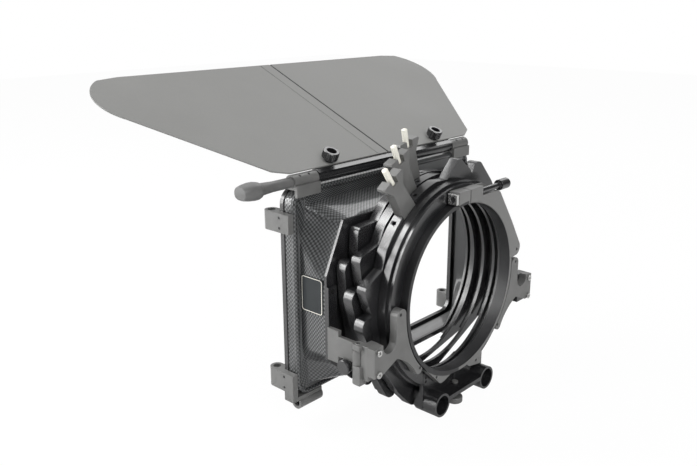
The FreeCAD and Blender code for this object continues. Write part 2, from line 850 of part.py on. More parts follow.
def side_bracket():
    """Upper bracket on the rim's left side."""
    return with_side_screw_holes(side_grip(side_bracket_bottom, side_bracket_top))


def corner_bracket():
    """Lower left bracket: a side grip joined round the corner to a foot with a cross bore."""
    grip = side_grip(corner_bracket_bottom, corner_bracket_top)
    outer = -rim_half - bracket_plate
    low = rim_bottom - foot_plate
    front = flag_axis_y + boss_radius
    post = box(outer, -rim_half, rim_rear_y, front, low, corner_bracket_bottom + 1)
    sole = box(outer, -foot_inner_x, rim_rear_y, front, low, rim_bottom)
    start = (-foot_outer_x, flag_axis_y, foot_axis_z)
    boss = rod_along(V(1, 0, 0), start, boss_radius, foot_outer_x - foot_inner_x)
    body = fused(grip, post, sole, boss)
    start = (-foot_outer_x - 10, flag_axis_y, foot_axis_z)
    body = body.cut(rod_along(V(1, 0, 0), start, flag_bore_radius, foot_outer_x))
    return with_side_screw_holes(body)


def clamp_screw_frames():
    """Set screws of the left top clamp: x places and the lean of their axes to the rear."""
    span = foot_outer_x - foot_inner_x
    return [(-foot_outer_x + span * share, 35.0) for share in (0.27, 0.65)]


def top_clamp():
    """Left clamp of the flag rod on the rim's top."""
    start = (-foot_outer_x, flag_axis_y, flag_axis_z)
    span = foot_outer_x - foot_inner_x
    boss = rod_along(V(1, 0, 0), start, boss_radius, span)
    base = box(
        -foot_outer_x, -foot_inner_x, rim_rear_y - bracket_hook, flag_axis_y + boss_radius,
        rim_top, rim_top + clamp_base_height,
    )
    hook = box(
        -foot_outer_x, -foot_inner_x, rim_rear_y - bracket_hook, rim_rear_y,
        rim_top - bracket_plate, rim_top + 1,
    )
    body = fused(boss, base, hook)
    body = body.cut(rod_along(V(1, 0, 0), start, flag_rod_radius, span))
    for x, lean in clamp_screw_frames():
        turn = math.radians(lean)
        axis = V(0, -math.sin(turn), math.cos(turn))
        hole = set_screw_radius + screw_clearance
        start = (x, flag_axis_y, flag_axis_z)
        body = body.cut(rod_along(axis, start, hole, boss_radius + 1))
    return body


def bracket_set_screws():
    """Tiny set screws of the grips and the top clamps, on both sides."""
    screws = []
    for y, z in side_screw_places():
        start = (-rim_half - bracket_plate + set_screw_recess, y, z)
        screws.append(rod_along(V(1, 0, 0), start, set_screw_radius, bracket_plate - set_screw_recess))
    for x, lean in clamp_screw_frames():
        turn = math.radians(lean)
        axis = V(0, -math.sin(turn), math.cos(turn))
        reach = flag_rod_radius + 0.1
        start = (x, flag_axis_y + axis.y * reach, flag_axis_z + axis.z * reach)
        length = boss_radius - set_screw_recess - reach
        screws.append(rod_along(axis, start, set_screw_radius, length))
    return screws + [mirrored(screw) for screw in screws]


def flag_rod():
    """Rod held in both top clamps."""
    start = (-foot_outer_x, flag_axis_y, flag_axis_z)
    return rod_along(V(1, 0, 0), start, flag_rod_radius, 2 * foot_outer_x)


def flag_lever():
    """Winged lever knob on the rod's left end."""
    end_x = -foot_outer_x - running_gap
    shaft_x = end_x - lever_shaft_length
    knob_start = shaft_x - lever_knob_length
    shaft = rod_along(
        V(1, 0, 0), (shaft_x, flag_axis_y, flag_axis_z), lever_shaft_radius, lever_shaft_length
    )
    knob = rod_along(
        V(1, 0, 0), (knob_start, flag_axis_y, flag_axis_z), lever_knob_radius, lever_knob_length
    )
    wing = box(
        knob_start + 1, shaft_x - 2, flag_axis_y - lever_wing_half, flag_axis_y + lever_wing_half,
        flag_axis_z - lever_wing_thickness / 2, flag_axis_z + lever_wing_thickness / 2,
    )
    return fused(shaft, knob, wing)


def knob_places():
    """Centres of the two thumb screws, as (x, y) before the flag is tilted."""
    y = flag_axis_y + flag_near + knob_setback
    return {"left": (-knob_x, y), "right": (knob_x, y)}


def flag_bar():
    """Holder bar: a tube on the rod with a flat shelf under the flag's near edge."""
    start = (-bar_half, flag_axis_y, flag_axis_z)
    tube = rod_along(V(1, 0, 0), start, bar_radius, 2 * bar_half)
    shelf = box(
        -bar_half, bar_half, flag_axis_y - bar_plate_behind, flag_axis_y + bar_plate_ahead,
        flag_axis_z + flag_lift - bar_plate_thickness, flag_axis_z + flag_lift,
    )
    body = fused(tube, shelf)
    bore = flag_rod_radius + running_clearance
    body = body.cut(rod_along(V(1, 0, 0), (-bar_half - 1, flag_axis_y, flag_axis_z), bore, 2 * bar_half + 2))
    hole = knob_shank_radius + running_clearance
    for x, y in knob_places().values():
        body = body.cut(rod_along(V(0, 0, 1), (x, y, flag_axis_z), hole, flag_lift + 1))
    return tilted(body)


def flag_panel(first_x):
    """Right half of the flag from an inner edge, flared towards its far edge."""
    near = flag_axis_y + flag_near
    z0 = flag_axis_z + flag_lift
    path = [
        (flag_near_half, near),
        (flag_shoulder[0], near + flag_shoulder[1]),
        (flag_flare[0], near + flag_flare[1]),
        ((flag_corner[0], near + flag_corner[1]), (flag_far_corner[0], near + flag_far_corner[1])),
        (flag_far_half, near + flag_length),
        (first_x, near + flag_length),
    ]
    body = plate_xy((first_x, near), path, z0, z0 + flag_thickness)
    x, y = knob_places()["right"]
    hole = knob_shank_radius + knob_hole_slack
    return body.cut(rod_along(V(0, 0, 1), (x, y, z0 - 1), hole, flag_thickness + 2))


def flag_panel_left():
    """Left half of the flag, beside the hinge leaf."""
    edge = flag_hinge_radius + leaf_width + 2 * flag_seam
    return tilted(mirrored(flag_panel(edge)))


def flag_panel_right():
    """Right half of the flag, up to the hinge."""
    return tilted(flag_panel(flag_hinge_radius + flag_seam))


def flag_hinge_leaf():
    """Narrow leaf between the left half and the hinge."""
    near = flag_axis_y + flag_near
    z0 = flag_axis_z + flag_lift
    right = -flag_hinge_radius - flag_seam
    return tilted(box(right - leaf_width, right, near, near + flag_length, z0, z0 + flag_thickness))


def flag_hinge_pin():
    """Thin hinge rod along the flag's middle."""
    start = (0, flag_axis_y + flag_near + 1, flag_axis_z + flag_lift + flag_hinge_radius)
    return tilted(rod_along(V(0, 1, 0), start, flag_hinge_radius, flag_length - 2))


def flag_knob(side):
    """Thumb screw with a hollow round head, through the flag into the bar."""
    x, y = knob_places()[side]
    top = flag_axis_z + flag_lift + flag_thickness + 0.1
    shank_length = flag_thickness + bar_plate_thickness + 1.5
    shank = rod_along(V(0, 0, 1), (x, y, top - shank_length), knob_shank_radius, shank_length)
    neck = rod_along(V(0, 0, 1), (x, y, top), knob_neck_radius, knob_neck_height)
    head = rod_along(V(0, 0, 1), (x, y, top + knob_neck_height), knob_head_radius, knob_head_height)
    rims = [edge for edge in head.Edges if edge.BoundBox.ZLength < 0.01]
    head = head.makeChamfer(0.6, rims)
    crown = top + knob_neck_height + knob_head_height
    cup = rod_along(V(0, 0, 1), (x, y, crown - knob_cup_depth), knob_cup_radius, knob_cup_depth + 1)
    return tilted(fused(shank, neck, head).cut(cup))


def write_node(name, shape):
    """One STEP file for one node, from one solid or a list of them."""
    solids = shape if isinstance(shape, list) else [shape]
    whole = Part.Compound(solids) if len(solids) > 1 else solids[0]
    whole.exportStep("parts/" + name + ".step")
    print(name, len(whole.Solids), round(whole.Volume, 1), whole.isValid())


def main():
    """Build every node."""
    os.makedirs("parts", exist_ok=True)
    write_node("lens_clamp_ring", lens_clamp_ring())
    write_node("clamp_screw", clamp_screw())
    write_node("clamp_nut", clamp_nut())
    write_node("adapter_ring", adapter_ring())
    write_node("stage_base", stage_base())
    write_node("ear_right", ear())
    write_node("ear_left", mirrored(ear()))
    write_node("stop_block", ear_block())
    write_node("hinge_block", hinge_block())
    write_node("hinge_pin", hinge_pin())
    write_node("ear_screws", ear_screws())
    write_node("frame_screws", frame_screws())
    write_node("rod_bracket", rod_bracket())
    write_node("rod_lock_screw", rod_lock_screw())
    write_node("swing_arm", swing_arm())
    write_node("swing_lock_knob", swing_lock_knob())
    write_node("mount_rail", mount_rail())
    write_node("rail_screws", rail_screws())
    write_node("hood_mount_plate", hood_mount_plate())
    write_node("hood_shell", hood_shell())
    write_node("front_frame", front_frame())
    write_node("label_plate", label_plate())
    for name in stage_leans:
        write_node("stage_frame_" + name, stage_frame(name))
        write_node("stage_handle_" + name, stage_handle(name))
        write_node("handle_pin_" + name, handle_pin(name))
    write_node("side_bracket_left", side_bracket())
    write_node("side_bracket_right", mirrored(side_bracket()))
    write_node("corner_bracket_left", corner_bracket())
    write_node("corner_bracket_right", mirrored(corner_bracket()))
    write_node("top_clamp_left", top_clamp())
    write_node("top_clamp_right", mirrored(top_clamp()))
    write_node("bracket_set_screws", bracket_set_screws())
    write_node("flag_rod", flag_rod())
    write_node("flag_lever", flag_lever())
    write_node("flag_bar", flag_bar())
    write_node("flag_panel_left", flag_panel_left())
    write_node("flag_panel_right", flag_panel_right())
    write_node("flag_hinge_leaf", flag_hinge_leaf())
    write_node("flag_hinge_pin", flag_hinge_pin())
    write_node("flag_knob_left", flag_knob("left"))
    write_node("flag_knob_right", flag_knob("right"))


main()
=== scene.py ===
"""Swing-away matte box: finishes, detailed pieces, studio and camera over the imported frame.

Metres throughout: +X to the operator's right, +Y towards the scene, +Z up, with the origin
at the centre of the lens clamp's bore at its rear face.
"""

from __future__ import annotations

import json
import logging
import math
from dataclasses import dataclass
from enum import Enum

import bmesh
import bpy
import numpy as np
from mathutils import Euler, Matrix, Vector

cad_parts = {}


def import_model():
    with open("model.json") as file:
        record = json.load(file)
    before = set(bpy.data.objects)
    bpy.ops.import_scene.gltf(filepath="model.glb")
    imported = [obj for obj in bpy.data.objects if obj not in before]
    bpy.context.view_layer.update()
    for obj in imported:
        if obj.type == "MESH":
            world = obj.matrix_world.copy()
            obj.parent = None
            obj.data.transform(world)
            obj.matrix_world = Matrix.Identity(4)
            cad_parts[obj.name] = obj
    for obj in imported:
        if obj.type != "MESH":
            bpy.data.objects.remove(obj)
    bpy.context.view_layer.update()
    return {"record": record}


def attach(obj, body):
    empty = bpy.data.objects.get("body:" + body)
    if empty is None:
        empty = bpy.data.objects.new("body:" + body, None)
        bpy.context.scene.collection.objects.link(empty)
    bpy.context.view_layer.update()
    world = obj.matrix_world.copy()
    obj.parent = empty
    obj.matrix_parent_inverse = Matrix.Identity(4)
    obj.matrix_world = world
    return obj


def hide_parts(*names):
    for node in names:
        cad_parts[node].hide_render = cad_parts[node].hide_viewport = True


LOG = logging.getLogger("matte_box")
MM = 0.001
MERGE_DISTANCE = 0.002 * MM
WELD_DISTANCE = 0.001 * MM
SHARP_ANGLE = math.radians(28.0)
Array = np.ndarray
Tree = bpy.types.NodeTree
Socket = bpy.types.NodeSocket


class Ends(Enum):
    """What closes the first and last rows of a tube of points."""

    JOINED = 0
    CAPPED = 1


def merged_copy(node: str, name: str) -> bpy.types.Object:
    """Copy a frame node and weld its loose triangles into a connected mesh.

    Args:
        node: Name of the frame node.
        name: Name of the new object.

    Returns:
        The new object at the origin, with flat areas dissolved to single faces.
    """
    source = bpy.data.objects[node]
    copy = bpy.data.objects.new(name, source.data.copy())
    bpy.context.scene.collection.objects.link(copy)
    work = bmesh.new()
    work.from_mesh(copy.data)
    bmesh.ops.remove_doubles(work, verts=work.verts, dist=MERGE_DISTANCE)
    bmesh.ops.dissolve_limit(
        work, angle_limit=math.radians(0.6), verts=work.verts, edges=work.edges
    )
    work.to_mesh(copy.data)
    work.free()
    return copy


def grid_mesh(name: str, points: Array, ends: Ends) -> bpy.types.Object:
    """Mesh object from a grid of points, with UVs in metres along both parameters.

    Args:
        name: Object name.
        points: Array of shape (rows, columns, 3). The columns run round and close on themselves,
            and the rows run along.
        ends: Whether the first and last rows lie on each other or get one face each.

    Returns:
        The linked object at the origin.
    """
    rows, cols, _ = points.shape
    here = np.arange(rows * cols).reshape(rows, cols)
    after = np.roll(here, -1, axis=1)
    quads = np.stack([here[:-1], after[:-1], after[1:], here[1:]], axis=-1).reshape(-1, 4)
    faces = quads.tolist()
    if ends is Ends.CAPPED:
        faces.append(here[0][::-1].tolist())
        faces.append(here[-1].tolist())
    mesh = bpy.data.meshes.new(name)
    mesh.from_pydata(points.reshape(-1, 3).tolist(), [], faces)
    around = np.linalg.norm(np.roll(points, -1, axis=1) - points, axis=2)
    around = np.broadcast_to(around.mean(axis=0, keepdims=True), around.shape)
    u = np.concatenate([np.zeros((rows, 1)), np.cumsum(around, axis=1)], axis=1)
    along = np.linalg.norm(np.diff(points, axis=0), axis=2)
    v = np.concatenate([np.zeros((1, cols)), np.cumsum(along, axis=0)], axis=0)
    v = np.broadcast_to(v.mean(axis=1, keepdims=True), (rows, cols))
    layer = mesh.uv_layers.new(name="length")
    r, c = np.divmod(here[:-1].reshape(-1), cols)
    corner_u = np.stack([u[r, c], u[r, c + 1], u[r + 1, c + 1], u[r + 1, c]], axis=-1)
    corner_v = np.stack([v[r, c], v[r, c], v[r + 1, c], v[r + 1, c]], axis=-1)
    flat = np.zeros((len(mesh.loops), 2))
    flat[: corner_u.size, 0] = corner_u.reshape(-1)
    flat[: corner_v.size, 1] = corner_v.reshape(-1)
    layer.data.foreach_set("uv", flat.reshape(-1))
    obj = bpy.data.objects.new(name, mesh)
    bpy.context.scene.collection.objects.link(obj)
    face_outwards(obj)
    return obj


def face_outwards(obj: bpy.types.Object) -> None:
    """Turn every face of a closed mesh outwards.

    Args:
        obj: The object whose mesh is corrected.
    """
    work = bmesh.new()
    work.from_mesh(obj.data)
    bmesh.ops.recalc_face_normals(work, faces=work.faces)
    work.to_mesh(obj.data)
    work.free()


def weld(obj: bpy.types.Object) -> None:
    """Join points that lie on each other.

    Args:
        obj: The object whose mesh is welded.
    """
    work = bmesh.new()
    work.from_mesh(obj.data)
    bmesh.ops.remove_doubles(work, verts=work.verts, dist=WELD_DISTANCE)
    work.to_mesh(obj.data)
    work.free()


def smooth(obj: bpy.types.Object, angle: float) -> None:
    """Smooth shading that keeps edges sharper than an angle.

    Args:
        obj: The object to shade.
        angle: Edges over this angle in radians stay sharp.
    """
    mesh = obj.data
    mesh.polygons.foreach_set("use_smooth", [True] * len(mesh.polygons))
    mesh.set_sharp_from_angle(angle=angle)


def soften(obj: bpy.types.Object, width: float) -> None:
    """Break the edges of a machined piece with a live bevel.

    Args:
        obj: The object to finish.
        width: Bevel width in metres.
    """
    smooth(obj, SHARP_ANGLE)
    bevel = obj.modifiers.new("broken edges", "BEVEL")
    bevel.width = width
    bevel.segments = 2
    bevel.limit_method = "ANGLE"
    bevel.angle_limit = SHARP_ANGLE
    bevel.harden_normals = True
    bevel.use_clamp_overlap = True


def revolve(name: str, start: Array, axis: Array, radii: Array, steps: Array,
            flute: float = 0.0, flutes: int = 0, sides: int = 48) -> bpy.types.Object:
    """Round piece turned about an axis.

    A point is start + axis * h + (radius + flute * cos(flutes * angle)) * (cos, sin) of the angle.

    Args:
        name: Object name.
        start: A point on the axis.
        axis: Unit vector of the axis.
        radii: Radius of each row, and its first and last rows are capped.
        steps: Height of each row along the axis.
        flute: Depth of the knurl, kept off rows narrower than the widest.
        flutes: Number of flutes round the piece.
        sides: Points round the piece.

    Returns:
        The linked object at the origin.
    """
    helper = np.array([1.0, 0.0, 0.0]) if abs(axis[0]) < 0.9 else np.array([0.0, 1.0, 0.0])
    across = np.cross(axis, helper)
    across /= np.linalg.norm(across)
    other = np.cross(axis, across)
    angle = np.linspace(0.0, 2 * np.pi, sides, endpoint=False)
    wide = (radii > radii.max() * 0.97).astype(float)
    reach = radii[:, None] + flute * wide[:, None] * np.cos(flutes * angle)[None, :]
    ring = np.cos(angle)[:, None] * across + np.sin(angle)[:, None] * other
    points = start + steps[:, None, None] * axis + reach[..., None] * ring[None, :, :]
    return grid_mesh(name, points, Ends.CAPPED)


def maths(tree: Tree, operation: str, *terms: Socket | float) -> Socket:
    """One arithmetic node.

    Args:
        tree: The node tree it joins.
        operation: Name of the operation.
        terms: Its inputs in order, each a socket or a plain number.

    Returns:
        The result socket.
    """
    node = tree.nodes.new("ShaderNodeMath")
    node.operation = operation
    for entry, term in zip(node.inputs, terms):
        if isinstance(term, Socket):
            tree.links.new(term, entry)
        else:
            entry.default_value = term
    return node.outputs[0]


@dataclass(frozen=True)
class Finish:
    """A surface finish: colour, roughness and fine surface relief."""

    name: str
    colour: tuple[float, float, float]
    roughness: float
    metallic: float = 0.0
    grain: float = 900.0
    grain_depth: float = 0.05
    mottle: float = 0.12
    coat: float = 0.0
    specular: float = 0.5
    gloss_spread: float = 0.05

    def shader(self) -> tuple[bpy.types.Material, Tree, bpy.types.Node]:
        """Start a material with its constant sockets set.

        Returns:
            The material, its node tree and its shader node.
        """
        material = bpy.data.materials.new(self.name)
        material.use_nodes = True
        tree = material.node_tree
        shade = tree.nodes["Principled BSDF"]
        shade.inputs["Base Color"].default_value = (*self.colour, 1.0)
        shade.inputs["Roughness"].default_value = self.roughness
        shade.inputs["Metallic"].default_value = self.metallic
        shade.inputs["Coat Weight"].default_value = self.coat
        shade.inputs["Coat Roughness"].default_value = 0.06
        shade.inputs["Specular IOR Level"].default_value = self.specular
        return material, tree, shade

    def coordinates(self, tree: Tree) -> Socket:
        """Object coordinates of the piece."""
        return tree.nodes.new("ShaderNodeTexCoord").outputs["Object"]

    def noise(self, tree: Tree, where: Socket, scale: float,
              detail: float) -> Socket:
        """Noise value at a scale.

        Args:
            tree: The material's node tree.
            where: Coordinates the noise reads.
            scale: Noise cells per metre.
            detail: Octaves.

        Returns:
            The noise factor socket.
        """
        node = tree.nodes.new("ShaderNodeTexNoise")
        node.inputs["Scale"].default_value = scale
        node.inputs["Detail"].default_value = detail
        tree.links.new(where, node.inputs["Vector"])
        return node.outputs["Fac"]

    def spread(self, tree: Tree, value: Socket, low: float,
               high: float, start: float = 0.3, end: float = 0.7) -> Socket:
        """Map a value from one range to another.

        Args:
            tree: The material's node tree.
            value: Socket that is mapped.
            low: Result at the range's start.
            high: Result at the range's end.
            start: Start of the input range.
            end: End of the input range.

        Returns:
            The mapped socket.
        """
        node = tree.nodes.new("ShaderNodeMapRange")
        node.inputs["From Min"].default_value = start
        node.inputs["From Max"].default_value = end
        node.inputs["To Min"].default_value = low
        node.inputs["To Max"].default_value = high
        tree.links.new(value, node.inputs["Value"])
        return node.outputs["Result"]

    def shade_of(self, tree: Tree, factor: Socket,
                 dark: tuple[float, float, float],
                 light: tuple[float, float, float]) -> Socket:
        """Blend between two colours by a factor.

        Args:
            tree: The material's node tree.
            factor: Blend factor socket.
            dark: Colour at 0.
            light: Colour at 1.

        Returns:
            The colour socket.
        """
        mix = tree.nodes.new("ShaderNodeMix")
        mix.data_type = "RGBA"
        mix.inputs["A"].default_value = (*dark, 1.0)
        mix.inputs["B"].default_value = (*light, 1.0)
        tree.links.new(factor, mix.inputs["Factor"])
        return mix.outputs["Result"]

    def relief(self, tree: Tree, shade: bpy.types.Node,
               height: Socket, depth: float, distance: float = 0.0002) -> None:
        """Bump from a height value.

        Args:
            tree: The material's node tree.
            shade: The shader node.
            height: Height socket.
            depth: Bump strength.
            distance: Height of a full step in metres.
        """
        bump = tree.nodes.new("ShaderNodeBump")
        bump.inputs["Strength"].default_value = depth
        bump.inputs["Distance"].default_value = distance
        tree.links.new(height, bump.inputs["Height"])
        tree.links.new(bump.outputs["Normal"], shade.inputs["Normal"])

    def mottled(self, tree: Tree, shade: bpy.types.Node, level: Socket) -> None:
        """Colour from mottle under the finish's colour to mottle over it.

        Args:
            tree: The material's node tree.
            shade: The shader node.
            level: 0 for the darker end and 1 for the lighter.
        """
        down = tuple(c * (1.0 - self.mottle) for c in self.colour)
        up = tuple(min(1.0, c * (1.0 + self.mottle)) for c in self.colour)
        tree.links.new(self.shade_of(tree, level, down, up), shade.inputs["Base Color"])

    def uneven_gloss(self, tree: Tree, shade: bpy.types.Node, value: Socket) -> None:
        """Roughness that strays by gloss_spread to both sides.

        Args:
            tree: The material's node tree.
            shade: The shader node.
            value: Noise that drives it.
        """
        low, high = self.roughness - self.gloss_spread, self.roughness + self.gloss_spread
        tree.links.new(self.spread(tree, value, low, high), shade.inputs["Roughness"])

    def build(self) -> bpy.types.Material:
        """Bead-blasted surface: fine grain, faint mottling and uneven gloss.

        Returns:
            The material.
        """
        material, tree, shade = self.shader()
        where = self.coordinates(tree)
        cloud = self.noise(tree, where, 60.0, 3.0)
        fine = self.noise(tree, where, self.grain, 2.0)
        self.mottled(tree, shade, self.spread(tree, cloud, 0.0, 1.0))
        self.uneven_gloss(tree, shade, fine)
        self.relief(tree, shade, fine, self.grain_depth)
        return material


@dataclass(frozen=True)
class TwoToneClamp(Finish):
    """Grey plate whose bored ring is left black."""

    bore: float = 65.4 * MM
    lip: float = 3.3 * MM
    slit_x: float = -2.0 * MM
    dark: tuple[float, float, float] = (0.014, 0.014, 0.015)

    def build(self) -> bpy.types.Material:
        """Black inside a radius, and a little further out left of the slit.

        The radius is bore for x over slit_x and bore + lip for x under it.

        Returns:
            The material.
        """
        material, tree, shade = self.shader()
        where = self.coordinates(tree)
        flat = tree.nodes.new("ShaderNodeVectorMath")
        flat.operation = "MULTIPLY"
        flat.inputs[1].default_value = (1.0, 0.0, 1.0)
        tree.links.new(where, flat.inputs[0])
        reach = tree.nodes.new("ShaderNodeVectorMath")
        reach.operation = "LENGTH"
        tree.links.new(flat.outputs["Vector"], reach.inputs[0])
        split = tree.nodes.new("ShaderNodeSeparateXYZ")
        tree.links.new(where, split.inputs["Vector"])
        left = maths(tree, "LESS_THAN", split.outputs["X"], self.slit_x)
        limit = maths(tree, "MULTIPLY_ADD", left, self.lip, self.bore)
        inside = maths(tree, "LESS_THAN", reach.outputs["Value"], limit)
        tint = self.shade_of(tree, inside, self.colour, self.dark)
        tree.links.new(tint, shade.inputs["Base Color"])
        self.uneven_gloss(tree, shade, self.noise(tree, where, self.grain, 2.0))
        return material


@dataclass(frozen=True)
class BrushedSteel(Finish):
    """Turned steel with fine lines across its length."""

    def build(self) -> bpy.types.Material:
        """Stretched noise gives the tool lines.

        Returns:
            The material.
        """
        material, tree, shade = self.shader()
        mapping = tree.nodes.new("ShaderNodeMapping")
        mapping.inputs["Scale"].default_value = (9.0, 1.0, 1.0)
        tree.links.new(self.coordinates(tree), mapping.inputs["Vector"])
        lines = self.noise(tree, mapping.outputs["Vector"], self.grain, 3.0)
        down = tuple(c * 0.82 for c in self.colour)
        tint = self.shade_of(tree, self.spread(tree, lines, 0.0, 1.0), down, self.colour)
        tree.links.new(tint, shade.inputs["Base Color"])
        gloss = self.spread(tree, lines, self.roughness - 0.06, self.roughness + 0.08)
        tree.links.new(gloss, shade.inputs["Roughness"])
        self.relief(tree, shade, lines, self.grain_depth)
        return material


@dataclass(frozen=True)
class CarbonWeave(Finish):
    """Plain-woven carbon tows under clear resin, laid along the piece's own lengths."""

    tow: float = 0.0016
    light: tuple[float, float, float] = (0.15, 0.155, 0.157)

    def build(self) -> bpy.types.Material:
        """Checks of crossing tows.

        With p = pi * u / tow and q = pi * v / tow, sin(p) * sin(q) is positive where the tows
        along u lie on top and negative where those along v do. Its size crowns each tow.

        Returns:
            The material.
        """
        material, tree, shade = self.shader()
        uv = tree.nodes.new("ShaderNodeUVMap")
        uv.uv_map = "length"
        split = tree.nodes.new("ShaderNodeSeparateXYZ")
        tree.links.new(uv.outputs["UV"], split.inputs["Vector"])
        waves = []
        for axis in ("X", "Y"):
            turn = maths(tree, "MULTIPLY", split.outputs[axis], math.pi / self.tow)
            waves.append(maths(tree, "SINE", turn))
        cross = maths(tree, "MULTIPLY", *waves)
        over = self.spread(tree, cross, 0.0, 1.0, -0.25, 0.45)
        cloud = self.noise(tree, self.coordinates(tree), 45.0, 3.0)
        patch = self.spread(tree, cloud, 0.55, 1.0)
        lit = maths(tree, "MULTIPLY", over, patch)
        tint = self.shade_of(tree, lit, self.colour, self.light)
        tree.links.new(tint, shade.inputs["Base Color"])
        gloss = self.spread(tree, over, self.roughness + 0.14, self.roughness, 0.0, 1.0)
        tree.links.new(gloss, shade.inputs["Roughness"])
        crown = maths(tree, "ABSOLUTE", cross)
        self.relief(tree, shade, crown, self.grain_depth, 0.0003)
        return material


@dataclass(frozen=True)
class SpeckledPaint(Finish):
    """Flat grey paint on sheet: fine specks and faint rub marks."""

    def build(self) -> bpy.types.Material:
        """Two noises: broad rub marks and paint specks.

        Returns:
            The material.
        """
        material, tree, shade = self.shader()
        where = self.coordinates(tree)
        specks = self.noise(tree, where, self.grain, 4.0)
        rubs = self.noise(tree, where, 14.0, 5.0)
        both = maths(tree, "MULTIPLY_ADD", specks, 0.6, rubs)
        self.mottled(tree, shade, self.spread(tree, both, 0.0, 1.0, 0.6, 1.0))
        gloss = self.spread(tree, rubs, self.roughness - 0.07, self.roughness + 0.07)
        tree.links.new(gloss, shade.inputs["Roughness"])
        self.relief(tree, shade, specks, self.grain_depth)
        return material


class Finishes:
    """Every finish on the matte box, keyed by the record's slot."""

    def __init__(self) -> None:
        """Build one material per slot."""
        finishes = {
            "black_anodised": Finish(
                "black anodised", (0.013, 0.013, 0.014), 0.25, grain_depth=0.004,
                specular=0.85, gloss_spread=0.012
            ),
            "grey_anodised": Finish(
                "grey anodised", (0.142, 0.142, 0.139), 0.42, metallic=0.2, grain=2600.0
            ),
            "steel": BrushedSteel(
                "bright steel", (0.62, 0.62, 0.61), 0.24, metallic=1.0, grain=1500.0
            ),
            "black_steel": BrushedSteel(
                "blackened steel", (0.05, 0.05, 0.05), 0.36, metallic=0.8, grain=1500.0
            ),
            "carbon_weave": CarbonWeave(
                "woven carbon", (0.018, 0.019, 0.02), 0.3, metallic=0.4, coat=0.6, grain_depth=0.3
            ),
            "label": Finish(
                "label black", (0.03, 0.034, 0.036), 0.5, grain=3000.0, specular=0.2
            ),
            "flag_paint": SpeckledPaint(
                "flag paint", (0.212, 0.212, 0.206), 0.62, specular=0.3, grain=1700.0,
                mottle=0.07, grain_depth=0.08
            ),
            "nylon": Finish(
                "white nylon", (0.8, 0.78, 0.7), 0.42, grain=1400.0, mottle=0.05
            ),
            "lever_plastic": Finish(
                "grey moulding", (0.115, 0.115, 0.114), 0.45, grain=2200.0, grain_depth=0.12
            ),
        }
        self.materials = {slot: finish.build() for slot, finish in finishes.items()}
        self.clamp = TwoToneClamp("two-tone clamp", (0.15, 0.15, 0.147), 0.36).build()

    def dress(self, obj: bpy.types.Object, slot: str) -> None:
        """Give a piece the material of a slot."""
        obj.data.materials.clear()
        obj.data.materials.append(self.materials[slot])


@dataclass
class MachinedParts:
    """The milled and turned nodes, each redrawn with broken edges."""

    finishes: Finishes
    record: dict
    large_edge: float = 0.5 * MM
    medium_edge: float = 0.3 * MM
    small_edge: float = 0.15 * MM
    large: tuple[str, ...] = (
        "stage_base", "stage_frame_a", "stage_frame_b", "stage_frame_c", "lens_clamp_ring",
        "ear_left", "ear_right", "rod_bracket", "front_frame", "side_bracket_left",
        "side_bracket_right", "corner_bracket_left", "corner_bracket_right", "top_clamp_left",
        "top_clamp_right",
    )
    medium: tuple[str, ...] = (
        "adapter_ring", "stage_handle_a", "stage_handle_b", "stage_handle_c", "hinge_block",
        "stop_block", "swing_arm", "mount_rail", "hood_mount_plate", "flag_bar", "rod_lock_screw",
        "swing_lock_knob", "clamp_screw", "flag_rod",
    )

    def build(self, remade: set[str]) -> None:
        """Redraw every node that no other class makes.

        Args:
            remade: Nodes that other classes replace.
        """
        bodies = {
            node: body
            for body, nodes in self.record["behaviour"]["bodies"].items()
            for node in nodes
        }
        for entry in self.record["subparts"]:
            node, slot = entry["node"], entry["material_slot"]
            if node in remade:
                continue
            piece = merged_copy(node, node + "_finished")
            width = self.small_edge
            if node in self.large:
                width = self.large_edge
            elif node in self.medium:
                width = self.medium_edge
            soften(piece, width)
            self.finishes.dress(piece, slot)
            if node == "lens_clamp_ring":
                piece.data.materials[0] = self.finishes.clamp
            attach(piece, bodies[node])
            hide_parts(node)
            LOG.info("machined %s", node)


